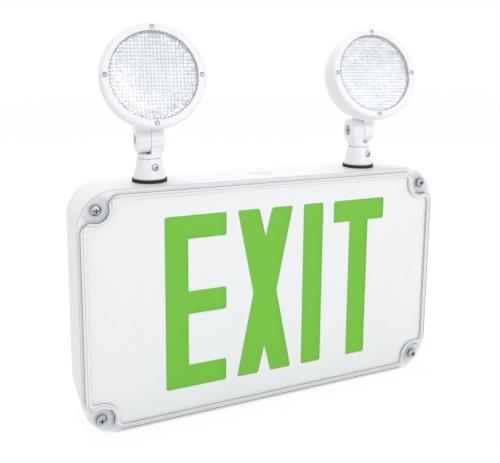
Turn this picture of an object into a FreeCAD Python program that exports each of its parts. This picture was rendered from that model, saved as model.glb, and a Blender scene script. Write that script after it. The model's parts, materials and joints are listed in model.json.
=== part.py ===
"""Emergency exit light with two swivelling lamp heads, for wet places.

Frame: millimetres, +Z up, the sign faces -Y, X runs along the sign. The origin is the centre of
the back face of the housing, so the wall is the plane Y = 0.
"""
import FreeCAD
import Part
import math
import os
from FreeCAD import Vector as V

os.makedirs("parts", exist_ok=True)

# ---- sign body -------------------------------------------------------------------------------
SIGN_W = 342.0            # housing and cover outline
SIGN_H = 206.0
CORNER_R = 31.0
SIDE_DRAFT = 1.1          # the back face is narrower and lower by these
TOP_DRAFT = 1.4
RIM_FRONT = 57.3          # front edge of the housing's outer lip, measured from the wall
SEAT_FRONT = 55.6         # the ledge the cover gasket lies on
WALL_T = 3.6
BACK_T = 3.0
SCREW_X = SIGN_W / 2 - 14.6   # the four cover screws
SCREW_Z = SIGN_H / 2 - 14.8
BOSS_R = 5.0
SEAL_SCALLOP_R = 8.6      # the seal runs round each screw on this radius
SEAL_FILLET_R = 9.9
SEAL_W = 2.0
SEAL_INSET = 1.1
CORNER_WALL_T = 3.2
CORNER_FLOOR = 38.0

# ---- clear cover -----------------------------------------------------------------------------
FLANGE_BACK = 57.6
FLANGE_FRONT = 60.0
PANEL_FRONT = 63.0
PANEL_W = SIGN_W - 4.0
PANEL_H = SIGN_H - 7.0
PANEL_SCALLOP_R = 10.5
PANEL_FILLET_R = 8.0
PANEL_WALL_T = 2.2
PANEL_T = 2.0
COVER_HOLE_R = 2.3
WASHER_R = 5.4
WASHER_T = 0.8

# ---- stencil, letters and light box ----------------------------------------------------------
STENCIL_FRONT = 60.6
STENCIL_T = 1.2
STENCIL_GAP = 0.5
STENCIL_SKIRT = 8.0
GREEN_T = 1.2
GREEN_W = 250.0
GREEN_H = 162.0
TRAY_W = SIGN_W - 36.0
TRAY_H = SIGN_H - 38.0
TRAY_SCALLOP_R = 16.5
TRAY_FILLET_R = 4.0
TRAY_FLOOR = 38.0
TRAY_T = 1.8
POST_X = TRAY_W / 2 - 18.0
POST_Z = TRAY_H / 2 - 18.0
POST_R = 4.5
PIN_R = 1.5
FIT = 0.05                # radial clearance of a pressed or threaded fit
LED_BOARD_W = 214.0
LED_BOARD_H = 13.0
LED_BOARD_T = 1.6
LED_BOARD_Z = TRAY_H / 4
LED_COUNT = 12

# ---- lamp head support -----------------------------------------------------------------------
HEAD_X = SIGN_W / 2 - 66.6
HEAD_Y = -30.4
PAD_Z = SIGN_H / 2 - 0.3  # flat pads on the sloping top
PAD_R = 16.0
GASKET_R = 14.8
GASKET_T = 3.0
NIPPLE_R = 10.4
BASE_R = 13.9
BASE_TOP_R = 10.3
BASE_TOP = PAD_Z + 19.9
STEM_R = 7.0
STEM_RUN = 0.06           # radial running clearance of the stem
STEM_END = PAD_Z - 14.7
WIRE_R = 4.0
NECK_R = 9.8
NECK_GAP = 0.35
SET_SCREW_Z = PAD_Z + 13.3
SET_SCREW_R = 1.9
SET_HEAD_R = 3.1
SET_SEAT = 11.0
GROOVE_R = 5.7
PIVOT_Z = PAD_Z + 35.8
DRUM_R = 11.4
DRUM_HALF = 12.0
HALF_GAP = 0.15
SHOULDER_Y = 8.6
SADDLE_GAP = 0.5
TILT_R = 2.0
TILT_RUN = 0.08
TILT_HEAD_R = 4.2
TILT_RECESS_R = 5.0
TILT_RECESS = 3.2

# ---- lamp head, measured from the tilt pivot -------------------------------------------------
FACE_Y = -42.0            # bezel face in front of the pivot
BEZEL_IN_R = 35.6
BORE_R = BEZEL_IN_R - 0.7
LENS_R = BEZEL_IN_R + 1.3
MOUTH_R = LENS_R + 0.1
BODY_RIM_R = MOUTH_R + 3.2
BODY_R = BODY_RIM_R + 1.2
BEZEL_R = BODY_RIM_R + 2.2
BEZEL_SCREW_R = MOUTH_R + 1.6
LAMP_Z = BEZEL_R + 4.0    # lamp axis above the pivot
BEZEL_T = 2.4
BEZEL_SKIRT = 12.0
LENS_T = 2.5
LENS_GASKET_T = 1.0
BODY_CYL = 17.0
BODY_DEPTH = 42.0
BACK_R = 12.0
BEZEL_HEAD_R = 1.8
BEZEL_SHANK_R = 1.0
BOARD_Y = 26.0

# ---- poses the heads are set to --------------------------------------------------------------
SIDES = {
    "left": {"s": -1, "pan": -5.5, "tilt": 13.5, "screw_azimuth": 10.0},
    "right": {"s": 1, "pan": -5.0, "tilt": 15.5, "screw_azimuth": 22.0},
}

# ---- fittings on the back and sides ----------------------------------------------------------
WALL_HOLE_X = SIGN_W / 2 - 36.0
WALL_HOLE_Z = SIGN_H / 2 - 63.0
WALL_HOLE_R = 2.5
ENTRY_R = 11.0
PLUG_R = 11.7
PLUG_BODY_R = 10.2
PLUG_T = 1.1
BUTTON_Z = -20.0
BUTTON_Y = -30.0
BUTTON_R = 4.0
BUTTON_OUT = 3.0
BUSH_R = 6.0
BUSH_FLANGE_R = 8.0
BUSH_FLANGE_T = 1.6
SIDE_PAD_R = 9.5
PILOT_Z = 4.0
PILOT_R = 3.0

SWITCH_FRONT = 16.2       # the switch body, measured in from the side wall
SWITCH_BACK = 32.0
SWITCH_HALF = 7.0

# ---- power supply on the back wall -----------------------------------------------------------
BOARD_STAND = 9.0
BOARD_W = 130.0
BOARD_H = 50.0
BOARD_Z = SIGN_H / 2 - 56.0
TRANSFORMER_X = -SIGN_W / 4 + 13.5
TRANSFORMER_Z = -SIGN_H / 2 + 57.0
TRANSFORMER_FOOT = 31.0
BRACKET_HALF = TRANSFORMER_FOOT + 5.0
BRACKET_HEIGHT = 18.0
CELL_R = 11.25
CELL_L = 43.0
CELLS = 4
BATTERY_X = SIGN_W / 4 - 10.5
BATTERY_Z = -SIGN_H / 2 + 55.0
STRAP_HEIGHT = 16.0
STRAP_T = 1.2
STRAP_FOOT = 14.0

# Holes in the top wall are cut from inside it to above it.
BELOW_TOP = SIGN_H / 2 - 13.0
ABOVE_TOP = SIGN_H / 2 + 7.0

X_AXIS = V(1, 0, 0)
Y_AXIS = V(0, 1, 0)
Z_AXIS = V(0, 0, 1)


def export(name, shape):
    shape = shape.removeSplitter()
    if shape.ShapeType != "Solid" and len(shape.Solids) == 1:
        shape = shape.Solids[0]
    shape.exportStep(f"parts/{name}.step")


def rod(radius, start, end):
    """A round bar between two points."""
    way = end - start
    return Part.makeCylinder(radius, way.Length, start, way)


def block(x0, x1, y0, y1, z0, z1):
    return Part.makeBox(x1 - x0, y1 - y0, z1 - z0, V(x0, y0, z0))


def joined(shapes):
    first, rest = shapes[0], shapes[1:]
    return first.fuse(rest) if rest else first


def turned(points, centre=V(0, 0, 0), axis=Z_AXIS):
    """A solid of revolution; each point is (radius, distance along the axis)."""
    wire = Part.makePolygon([V(r, 0, h) for r, h in points + points[:1]])
    solid = Part.Face(wire).revolve(V(0, 0, 0), Z_AXIS, 360)
    solid.Placement = FreeCAD.Placement(centre, FreeCAD.Rotation(Z_AXIS, axis))
    return solid


def rounded_wire(x0, x1, z0, z1, r, y):
    """A rectangle with round corners, drawn in a plane parallel to the wall."""
    k = r * (1 - math.sqrt(0.5))
    arcs = [
        (V(x1 - r, y, z1), V(x1 - k, y, z1 - k), V(x1, y, z1 - r)),
        (V(x1, y, z0 + r), V(x1 - k, y, z0 + k), V(x1 - r, y, z0)),
        (V(x0 + r, y, z0), V(x0 + k, y, z0 + k), V(x0, y, z0 + r)),
        (V(x0, y, z1 - r), V(x0 + k, y, z1 - k), V(x0 + r, y, z1)),
    ]
    return closed_wire(arcs)


def closed_wire(arcs):
    edges = []
    for i, (start, middle, end) in enumerate(arcs):
        edges.append(Part.Arc(start, middle, end).toShape())
        after = arcs[(i + 1) % len(arcs)][0]
        if (after - end).Length > 1e-6:
            edges.append(Part.makeLine(end, after))
    return Part.Wire(edges)


def scalloped_wire(half_w, half_h, scallop, fillet, y):
    """A rectangle whose corners run round the cover screws: fillet, hollow, fillet."""
    screw = V(SCREW_X, 0, SCREW_Z)
    reach = scallop + fillet
    top = V(SCREW_X - math.sqrt(reach**2 - (half_h - fillet - SCREW_Z)**2), 0, half_h - fillet)
    side = V(half_w - fillet, 0, SCREW_Z - math.sqrt(reach**2 - (half_w - fillet - SCREW_X)**2))
    to_top = (top - screw).normalize()
    to_side = (side - screw).normalize()
    corner = [
        (top + Z_AXIS * fillet, top + (Z_AXIS - to_top).normalize() * fillet, screw + to_top * scallop),
        (screw + to_top * scallop, screw + (to_top + to_side).normalize() * scallop,
         screw + to_side * scallop),
        (screw + to_side * scallop, side + (X_AXIS - to_side).normalize() * fillet,
         side + X_AXIS * fillet),
    ]
    arcs = []
    for sx, sz in ((1, 1), (1, -1), (-1, -1), (-1, 1)):
        turned_corner = [tuple(V(p.x * sx, y, p.z * sz) for p in arc) for arc in corner]
        if sx * sz < 0:
            turned_corner = [arc[::-1] for arc in turned_corner[::-1]]
        arcs += turned_corner
    return closed_wire(arcs)


def prism(wire, depth):
    """Fill a wire and extrude it towards the wall."""
    return Part.Face(wire).extrude(V(0, depth, 0))


def corners(x, z):
    return [(sx * x, sz * z) for sx, sz in ((-1, 1), (1, 1), (-1, -1), (1, -1))]


def seal_wire(inset, y):
    return scalloped_wire(SIGN_W / 2 - SEAL_INSET - inset, SIGN_H / 2 - SEAL_INSET - inset,
                          SEAL_SCALLOP_R + inset, SEAL_FILLET_R - inset, y)


def panel_wire(inset, y):
    return scalloped_wire(PANEL_W / 2 - inset, PANEL_H / 2 - inset,
                          PANEL_SCALLOP_R + inset, PANEL_FILLET_R - inset, y)


def side_point(z):
    """A point on the flat pads of the right-hand wall."""
    return V(SIGN_W / 2, BUTTON_Y, z)


def housing_outside(front):
    w, h = SIGN_W / 2, SIGN_H / 2
    return Part.makeLoft([
        rounded_wire(-w, w, -h, h, CORNER_R, -front),
        rounded_wire(-w + SIDE_DRAFT, w - SIDE_DRAFT, -h, h - TOP_DRAFT, CORNER_R - SIDE_DRAFT, 0),
    ], True, True)


def corner_pockets(shell):
    """The four dry corners outside the seal, open towards the clear flange, with ribs."""
    pocket = prism(rounded_wire(-SIGN_W / 2 + CORNER_WALL_T, SIGN_W / 2 - CORNER_WALL_T,
                                -SIGN_H / 2 + CORNER_WALL_T, SIGN_H / 2 - CORNER_WALL_T,
                                CORNER_R - CORNER_WALL_T, -RIM_FRONT - 1), RIM_FRONT + 1 - CORNER_FLOOR)
    pocket = pocket.cut(prism(seal_wire(-CORNER_WALL_T + SEAL_W, -RIM_FRONT - 2), RIM_FRONT))
    for x, z in corners(SCREW_X, SCREW_Z):
        out = V(x, 0, z)
        out -= V(math.copysign(SIGN_W / 2 - CORNER_R, x), 0, math.copysign(SIGN_H / 2 - CORNER_R, z))
        for turn in (-62, -20, 20, 62):
            way = FreeCAD.Rotation(Y_AXIS, turn).multVec(V(out).normalize())
            rib = Part.makeBox(16, RIM_FRONT - CORNER_FLOOR, 1.4, V(0, -RIM_FRONT, -0.7))
            rib.Placement = FreeCAD.Placement(V(x, 0, z), FreeCAD.Rotation(X_AXIS, way)).multiply(rib.Placement)
            pocket = pocket.cut(rib)
        pocket = pocket.cut(rod(BOSS_R, V(x, -RIM_FRONT - 2, z), V(x, 0, z)))
    return shell.cut(pocket)


def back_housing():
    shell = housing_outside(RIM_FRONT)
    pads = [rod(PAD_R, V(d["s"] * HEAD_X, HEAD_Y, PAD_Z - 4), V(d["s"] * HEAD_X, HEAD_Y, PAD_Z))
            for d in SIDES.values()]
    pads.append(rod(SIDE_PAD_R, side_point(BUTTON_Z) - X_AXIS * 4, side_point(BUTTON_Z)))
    pads.append(rod(SIDE_PAD_R / 2, side_point(PILOT_Z) - X_AXIS * 4, side_point(PILOT_Z)))
    shell = shell.fuse(pads)
    inset = WALL_T - SEAL_INSET
    shell = shell.cut(prism(seal_wire(inset, -RIM_FRONT - 1), RIM_FRONT + 1 - BACK_T))
    shell = shell.cut(prism(seal_wire(-FIT, -RIM_FRONT - 1), RIM_FRONT + 1 - SEAT_FRONT))
    shell = corner_pockets(shell)
    inside = [rod(POST_R, V(x, -TRAY_FLOOR, z), V(x, -1, z)) for x, z in corners(POST_X, POST_Z)]
    inside += [rod(PIN_R, V(x, -TRAY_FLOOR - TRAY_T - 1.5, z), V(x, -10, z))
               for x, z in corners(POST_X, POST_Z)]
    inside += [rod(3.5, V(x, -BOARD_STAND, z), V(x, -1, z)) for x, z in board_feet()]
    inside += [rod(PIN_R, V(x, -BOARD_STAND - 3.5, z), V(x, -1, z)) for x, z in board_feet()]
    inside += [rod(PIN_R, V(x, -BACK_T - 3.0, z), V(x, -1, z)) for x, z in strap_feet() + transformer_feet()]
    shell = shell.fuse(inside)
    holes = [rod(WALL_HOLE_R, V(x, -10, z), V(x, 1, z)) for x, z in corners(WALL_HOLE_X, WALL_HOLE_Z)]
    holes.append(rod(ENTRY_R, V(0, -10, 0), V(0, 1, 0)))
    holes += [rod(1.95, V(x, -RIM_FRONT - 1, z), V(x, -42, z)) for x, z in corners(SCREW_X, SCREW_Z)]
    holes += [rod(NIPPLE_R + 0.4, V(d["s"] * HEAD_X, HEAD_Y, BELOW_TOP),
                  V(d["s"] * HEAD_X, HEAD_Y, ABOVE_TOP))
              for d in SIDES.values()]
    top = SIGN_H / 2 - TOP_DRAFT * (RIM_FRONT + HEAD_Y) / RIM_FRONT
    holes.append(rod(PLUG_R + FIT, V(0, HEAD_Y, top - PLUG_T), V(0, HEAD_Y, ABOVE_TOP)))
    holes.append(rod(PLUG_BODY_R + FIT, V(0, HEAD_Y, BELOW_TOP), V(0, HEAD_Y, ABOVE_TOP)))
    holes.append(rod(BUSH_R + FIT, side_point(BUTTON_Z) - X_AXIS * 12, side_point(BUTTON_Z) + X_AXIS))
    holes.append(rod(PILOT_R + FIT, side_point(PILOT_Z) - X_AXIS * 12, side_point(PILOT_Z) + X_AXIS))
    return shell.cut(holes)


def cover_gasket():
    outer = prism(seal_wire(0, -FLANGE_BACK), FLANGE_BACK - SEAT_FRONT)
    return outer.cut(prism(seal_wire(SEAL_W, -FLANGE_BACK - 1), 5))


def clear_cover():
    w, h = SIGN_W / 2, SIGN_H / 2
    flange = prism(rounded_wire(-w, w, -h, h, CORNER_R, -FLANGE_FRONT), FLANGE_FRONT - FLANGE_BACK)
    panel = prism(panel_wire(0, -PANEL_FRONT), PANEL_FRONT - FLANGE_BACK)
    cover = flange.fuse(panel)
    cover = cover.cut(prism(panel_wire(PANEL_WALL_T, -PANEL_FRONT + PANEL_T), PANEL_FRONT))
    holes = [rod(COVER_HOLE_R, V(x, -PANEL_FRONT - 1, z), V(x, 0, z)) for x, z in corners(SCREW_X, SCREW_Z)]
    return cover.cut(holes)


def cross_recess(reach, depth, width):
    """A cross-shaped driver recess, entered from z = 0 downwards."""
    bars = [Part.makeBox(2 * reach, width, depth, V(-reach, -width / 2, -depth)),
            Part.makeBox(width, 2 * reach, depth, V(-width / 2, -reach, -depth))]
    return bars[0].fuse(bars[1])


def pan_screw(head_r, head_h, shank_r, length, seat, axis):
    """A pan-head screw: the head stands on `seat`, the shank runs against `axis`."""
    head = turned([(0, 0), (head_r, 0), (head_r, head_h * 0.45), (head_r * 0.72, head_h * 0.92),
                   (head_r * 0.4, head_h), (0, head_h)])
    recess = cross_recess(head_r * 0.55, head_h * 0.7, head_r * 0.26)
    recess.translate(V(0, 0, head_h))
    screw = head.cut(recess).fuse(Part.makeCylinder(shank_r, length, V(0, 0, -length)))
    screw.Placement = FreeCAD.Placement(seat, FreeCAD.Rotation(Z_AXIS, axis))
    return screw


def cover_fastenings():
    for i, (x, z) in enumerate(corners(SCREW_X, SCREW_Z), 1):
        washer = rod(WASHER_R, V(x, -FLANGE_FRONT - WASHER_T, z), V(x, -FLANGE_FRONT, z))
        washer = washer.cut(rod(1.95, V(x, -PANEL_FRONT - 7, z), V(x, 0, z)))
        export(f"sealing_washer_{i}", washer)
        export(f"cover_screw_{i}", pan_screw(4.2, 2.8, 1.9, 15.5, V(x, -FLANGE_FRONT - WASHER_T, z), -Y_AXIS))


def exit_stencil():
    inset = PANEL_WALL_T + STENCIL_GAP
    plate = prism(panel_wire(inset, -STENCIL_FRONT), STENCIL_SKIRT)
    plate = plate.cut(prism(panel_wire(inset + STENCIL_T, -STENCIL_FRONT + STENCIL_T), STENCIL_SKIRT))
    return plate


def letter_lens():
    return block(7.05 - GREEN_W / 2, 7.05 + GREEN_W / 2, -STENCIL_FRONT + STENCIL_T,
                 -STENCIL_FRONT + STENCIL_T + GREEN_T, -GREEN_H / 2, GREEN_H / 2)


def light_tray():
    front = STENCIL_FRONT - STENCIL_T - GREEN_T
    tray = prism(scalloped_wire(TRAY_W / 2, TRAY_H / 2, TRAY_SCALLOP_R, TRAY_FILLET_R, -front),
                 front - TRAY_FLOOR)
    tray = tray.cut(prism(scalloped_wire(TRAY_W / 2 - TRAY_T, TRAY_H / 2 - TRAY_T, TRAY_SCALLOP_R + TRAY_T,
                                         TRAY_FILLET_R - TRAY_T, -front - 1), front + 1 - TRAY_FLOOR - TRAY_T))
    holes = [rod(PIN_R + FIT, V(x, -TRAY_FLOOR - 5, z), V(x, -20, z)) for x, z in corners(POST_X, POST_Z)]
    return tray.cut(holes)


def led_board(z):
    floor = -TRAY_FLOOR - TRAY_T
    board = block(7.05 - LED_BOARD_W / 2, 7.05 + LED_BOARD_W / 2, floor - LED_BOARD_T, floor,
                  z - LED_BOARD_H / 2, z + LED_BOARD_H / 2)
    pitch = LED_BOARD_W / LED_COUNT
    chips = []
    for n in range(LED_COUNT):
        x = 7.05 + (n - (LED_COUNT - 1) / 2) * pitch
        chips.append(block(x - 1.8, x + 1.8, floor - LED_BOARD_T - 1.0, floor - LED_BOARD_T + 0.2,
                           z - 1.4, z + 1.4))
    return board.fuse(chips)


def board_feet():
    return [(sx * (BOARD_W / 2 - 6), BOARD_Z + sz * (BOARD_H / 2 - 6)) for sx in (-1, 1) for sz in (-1, 1)]


def charger_board():
    back = -BOARD_STAND
    board = block(-BOARD_W / 2, BOARD_W / 2, back - 1.6, back, BOARD_Z - BOARD_H / 2, BOARD_Z + BOARD_H / 2)
    front = back - 1.4
    parts = [block(-50, -32, front - 15, front, BOARD_Z - 8, BOARD_Z + 4),
             block(28, 52, front - 9, front, BOARD_Z - 20, BOARD_Z - 10),
             block(-6, 8, front - 4, front, BOARD_Z - 4, BOARD_Z + 10)]
    parts += [rod(5.0, V(x, front - 14, BOARD_Z + 8), V(x, front, BOARD_Z + 8)) for x in (-18, 18, 32)]
    board = board.fuse(parts)
    return board.cut([rod(PIN_R + FIT, V(x, -30, z), V(x, 0, z)) for x, z in board_feet()])


def transformer_feet():
    return [(TRANSFORMER_X + s * TRANSFORMER_FOOT, TRANSFORMER_Z) for s in (-1, 1)]


def transformer():
    x, z, back = TRANSFORMER_X, TRANSFORMER_Z, -BACK_T
    core = block(x - 24, x + 24, back - 22, back, z - 20, z + 20)
    coil = block(x - 15, x + 15, back - 29, back - 1.2, z - 26, z + 26)
    bracket = block(x - BRACKET_HALF, x + BRACKET_HALF, back - 1.2, back,
                    z - BRACKET_HEIGHT / 2, z + BRACKET_HEIGHT / 2)
    whole = core.fuse([coil, bracket])
    return whole.cut([rod(PIN_R + FIT, V(fx, -30, fz), V(fx, 0, fz)) for fx, fz in transformer_feet()])


def strap_feet():
    reach = CELLS * CELL_R + 9.0
    return [(BATTERY_X + s * reach, BATTERY_Z) for s in (-1, 1)]


def battery_pack():
    """Four cells side by side in one shrink sleeve."""
    y = -BACK_T - CELL_R - 0.1
    z0 = BATTERY_Z - CELL_L / 2
    cells = [rod(CELL_R, V(BATTERY_X + (n - (CELLS - 1) / 2) * 2 * CELL_R, y, z0),
                 V(BATTERY_X + (n - (CELLS - 1) / 2) * 2 * CELL_R, y, z0 + CELL_L)) for n in range(CELLS)]
    sleeve = block(BATTERY_X - (CELLS - 1) * CELL_R, BATTERY_X + (CELLS - 1) * CELL_R, y - 6, y + 6,
                   z0, z0 + CELL_L)
    return sleeve.fuse(cells)


def battery_strap():
    """A steel strap bent over the pack, its two feet on the back wall."""
    half = CELLS * CELL_R + 0.4
    front = -BACK_T - 2 * CELL_R - 0.4
    z0, z1 = BATTERY_Z - STRAP_HEIGHT / 2, BATTERY_Z + STRAP_HEIGHT / 2
    outer = block(BATTERY_X - half - STRAP_T, BATTERY_X + half + STRAP_T, front - STRAP_T, -BACK_T, z0, z1)
    inner = block(BATTERY_X - half, BATTERY_X + half, front, 0, z0 - 1, z1 + 1)
    foot = [block(BATTERY_X - half - STRAP_FOOT, BATTERY_X - half, -BACK_T - STRAP_T, -BACK_T, z0, z1),
            block(BATTERY_X + half, BATTERY_X + half + STRAP_FOOT, -BACK_T - STRAP_T, -BACK_T, z0, z1)]
    strap = outer.cut(inner).fuse(foot)
    return strap.cut([rod(PIN_R + FIT, V(x, -30, z), V(x, 0, z)) for x, z in strap_feet()])


def conduit_plug():
    top = SIGN_H / 2 - TOP_DRAFT * (RIM_FRONT + HEAD_Y) / RIM_FRONT
    plug = rod(PLUG_R, V(0, HEAD_Y, top - PLUG_T), V(0, HEAD_Y, top))
    return plug.fuse(rod(PLUG_BODY_R, V(0, HEAD_Y, top - 8), V(0, HEAD_Y, top)))


def test_bush():
    face = side_point(BUTTON_Z)
    bush = rod(BUSH_FLANGE_R, face, face + X_AXIS * BUSH_FLANGE_T)
    bush = bush.fuse(rod(BUSH_R, face - X_AXIS * 11, face + X_AXIS * BUSH_FLANGE_T))
    return bush.cut(rod(BUTTON_R + 0.1, face - X_AXIS * 20, face + X_AXIS * 5))


def test_button():
    face = side_point(BUTTON_Z)
    cap = rod(BUTTON_R, face - X_AXIS * 8, face + X_AXIS * (BUSH_FLANGE_T + BUTTON_OUT))
    return cap.fuse(rod(BUTTON_R + 0.9, face - X_AXIS * 12.8, face - X_AXIS * 11.3)).fuse(
        rod(BUTTON_R - 1, face - X_AXIS * 13, face - X_AXIS * 7))


def test_switch():
    face = side_point(BUTTON_Z)
    half = SWITCH_HALF
    body = block(face.x - SWITCH_BACK, face.x - SWITCH_FRONT, face.y - half, face.y + half,
                 face.z - half, face.z + half)
    nut = rod(BUSH_R + 3, face - X_AXIS * 11, face - X_AXIS * WALL_T).cut(
        rod(BUSH_R + FIT, face - X_AXIS * 20, face))
    cage = block(face.x - SWITCH_FRONT - 1.8, face.x - 9, face.y - half - 2, face.y + half + 2,
                 face.z - half - 2, face.z + half + 2)
    cage = cage.cut(block(face.x - SWITCH_FRONT, face.x, face.y - half, face.y + half,
                          face.z - half, face.z + half))
    return body.fuse(cage).fuse(nut)


def pilot_lens():
    face = side_point(PILOT_Z)
    lens = rod(PILOT_R, face - X_AXIS * 6, face + X_AXIS * 0.4)
    dome = Part.makeSphere(PILOT_R * 1.2, face - X_AXIS * (PILOT_R * 0.65))
    return lens.fuse(dome.common(rod(PILOT_R, face, face + X_AXIS * 5)))


def axis_point(side, z):
    return V(SIDES[side]["s"] * HEAD_X, HEAD_Y, z)


def swivel_base(side):
    foot = axis_point(side, 0)
    flare = [(BASE_R, PAD_Z + GASKET_T + 1.2), (12.9, PAD_Z + GASKET_T + 4.0), (11.9, PAD_Z + GASKET_T + 8.0),
             (11.0, PAD_Z + GASKET_T + 13.0)]
    base = turned([(STEM_R + STEM_RUN, STEM_END + 2), (NIPPLE_R, STEM_END + 2), (NIPPLE_R, PAD_Z + GASKET_T),
                   (BASE_R, PAD_Z + GASKET_T)] + flare + [(BASE_TOP_R, BASE_TOP), (STEM_R + STEM_RUN, BASE_TOP)],
                  foot)
    way = set_screw_way(side)
    centre = axis_point(side, SET_SCREW_Z)
    spot = rod(SET_HEAD_R + 0.25, centre + way * SET_SEAT, centre + way * 20)
    return base.cut([spot, rod(SET_SCREW_R + FIT, centre, centre + way * 20)])


def set_screw_way(side):
    a = math.radians(SIDES[side]["screw_azimuth"])
    return V(math.sin(a), -math.cos(a), 0)


def set_screw(side):
    way = set_screw_way(side)
    seat = axis_point(side, SET_SCREW_Z) + way * SET_SEAT
    return pan_screw(SET_HEAD_R, 2.0, SET_SCREW_R, SET_SEAT - GROOVE_R - 0.2, seat, way)


def base_gasket(side):
    ring = rod(GASKET_R, axis_point(side, PAD_Z), axis_point(side, PAD_Z + GASKET_T))
    return ring.cut(rod(NIPPLE_R + 0.1, axis_point(side, 90), axis_point(side, 120)))


def base_locknut(side):
    top = SIGN_H / 2 - WALL_T
    hexagon = [V(math.cos(math.radians(60 * k)) * 15.6, math.sin(math.radians(60 * k)) * 15.6, 0)
               for k in range(7)]
    nut = Part.Face(Part.makePolygon(hexagon)).extrude(V(0, 0, 4.5))
    nut.translate(axis_point(side, top - 4.5))
    return nut.cut(rod(NIPPLE_R + FIT, axis_point(side, BELOW_TOP), axis_point(side, ABOVE_TOP)))


def half_drum(s):
    """One half of the hinge barrel, lying along X from the pivot towards side s."""
    points = [(0, HALF_GAP), (DRUM_R, HALF_GAP), (DRUM_R, DRUM_HALF - 2.4), (DRUM_R - 0.7, DRUM_HALF - 0.7),
              (DRUM_R - 2.4, DRUM_HALF), (0, DRUM_HALF)]
    return turned(points, V(0, 0, 0), X_AXIS * s)


def hinge_bores():
    """Bore, screw-head recess at -X and nut recess at +X, about the pivot."""
    return [rod(TILT_R + TILT_RUN, V(-20, 0, 0), V(20, 0, 0)),
            rod(TILT_RECESS_R, V(-20, 0, 0), V(-DRUM_HALF + TILT_RECESS, 0, 0)),
            rod(TILT_RECESS_R, V(DRUM_HALF - TILT_RECESS, 0, 0), V(20, 0, 0))]


def place_knuckle(side, shape):
    pose = SIDES[side]
    shape.Placement = FreeCAD.Placement(axis_point(side, PIVOT_Z), FreeCAD.Rotation(Z_AXIS, pose["pan"])).multiply(
        shape.Placement)
    return shape


def place_head(side, shape):
    shape.Placement = FreeCAD.Placement(V(0, 0, 0), FreeCAD.Rotation(X_AXIS, -SIDES[side]["tilt"])).multiply(
        shape.Placement)
    return place_knuckle(side, shape)


def knuckle(side):
    s = SIDES[side]["s"]
    low = BASE_TOP + NECK_GAP - PIVOT_Z
    stem = turned([(WIRE_R, STEM_END - PIVOT_Z), (STEM_R, STEM_END - PIVOT_Z), (STEM_R, SET_SCREW_Z - 2.2 - PIVOT_Z),
                   (GROOVE_R, SET_SCREW_Z - 2.2 - PIVOT_Z), (GROOVE_R, SET_SCREW_Z + 2.2 - PIVOT_Z),
                   (STEM_R, SET_SCREW_Z + 2.2 - PIVOT_Z), (STEM_R, low), (NECK_R, low), (NECK_R, -4.0),
                   (WIRE_R, -4.0)])
    taper = [(0, low + 1), (NECK_R - 0.6, low + 1), (DRUM_HALF, -5.0), (DRUM_HALF, 0), (0, 0)]
    skirt = Part.Face(Part.makePolygon([V(-s * x, -SHOULDER_Y, z) for x, z in taper + taper[:1]])).extrude(
        V(0, 2 * SHOULDER_Y, 0))
    skirt = skirt.common(turned([(0, low), (NECK_R, low), (DRUM_R + 1.0, -4.0), (DRUM_R + 1.0, 1.0),
                                 (0, 1.0)]))
    body = joined([stem, skirt, half_drum(-s)])
    x0, x1 = sorted((-s * HALF_GAP, s * 20))
    seat = block(x0, x1, -20, 20, -DRUM_R - SADDLE_GAP, 20)
    return place_knuckle(side, body.cut([seat] + hinge_bores()))


def tilt_screw(side):
    seat = V(-DRUM_HALF + TILT_RECESS - 0.1, 0, 0)
    screw = pan_screw(TILT_HEAD_R, 2.6, TILT_R, 2 * DRUM_HALF - 2 * TILT_RECESS + 3.2, seat, -X_AXIS)
    return place_knuckle(side, screw)


def tilt_nut(side):
    near = DRUM_HALF - TILT_RECESS + 0.1
    hexagon = [V(0, math.cos(math.radians(60 * k)) * 4.6, math.sin(math.radians(60 * k)) * 4.6) for k in range(7)]
    nut = Part.Face(Part.makePolygon(hexagon)).extrude(V(2.8, 0, 0))
    nut.translate(V(near, 0, 0))
    return place_knuckle(side, nut.cut(rod(TILT_R + 0.02, V(-20, 0, 0), V(20, 0, 0))))


def lamp_turned(points):
    """A ring or bowl about the lamp axis; each point is (radius, depth behind the bezel face)."""
    return turned(points, V(0, FACE_Y, LAMP_Z), Y_AXIS)


def bowl_points(cylinder_r, back_r, start, depth, steps):
    """Points of the rounded back of the lamp, from the rim to the flat end."""
    span = depth - start
    points = []
    for k in range(steps + 1):
        a = math.radians(90 * k / steps)
        points.append((back_r + (cylinder_r - back_r) * math.cos(a), start + span * math.sin(a)))
    return points


def lamp_housing(side):
    s = SIDES[side]["s"]
    rim = BEZEL_T
    outside = lamp_turned([(0, rim), (BODY_RIM_R, rim), (BODY_RIM_R, BEZEL_SKIRT + 0.3), (BODY_R, BEZEL_SKIRT + 0.3)]
                          + bowl_points(BODY_R, BACK_R, BODY_CYL, BODY_DEPTH, 8) + [(0, BODY_DEPTH)])
    arm = [(-10.6, 5.6), (-12.5, 14.0), (-13.0, 26.0), (-2.0, 36.0), (3.6, 30.0), (6.4, 20.0), (10.4, 6.0)]
    x0 = HALF_GAP if s > 0 else -DRUM_HALF
    arm_solid = Part.Face(Part.makePolygon([V(x0, y, z) for y, z in arm + arm[:1]])).extrude(
        V(DRUM_HALF - HALF_GAP, 0, 0))
    body = joined([outside, arm_solid, half_drum(s)])
    ledge = rim + LENS_T + LENS_GASKET_T
    inside = lamp_turned([(0, rim - 1), (MOUTH_R, rim - 1), (MOUTH_R, ledge), (BORE_R, ledge)]
                         + bowl_points(BORE_R, BACK_R - 2, BODY_CYL - 1, BODY_DEPTH - 2.5, 3) + [(0, BODY_DEPTH - 2.5)])
    sweep = rod(DRUM_R + SADDLE_GAP, V(s * HALF_GAP, 0, 0), V(-s * 20, 0, 0))
    body = body.cut([inside, sweep] + hinge_bores() + bezel_screw_holes(BEZEL_SHANK_R + FIT))
    return place_head(side, body)


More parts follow.
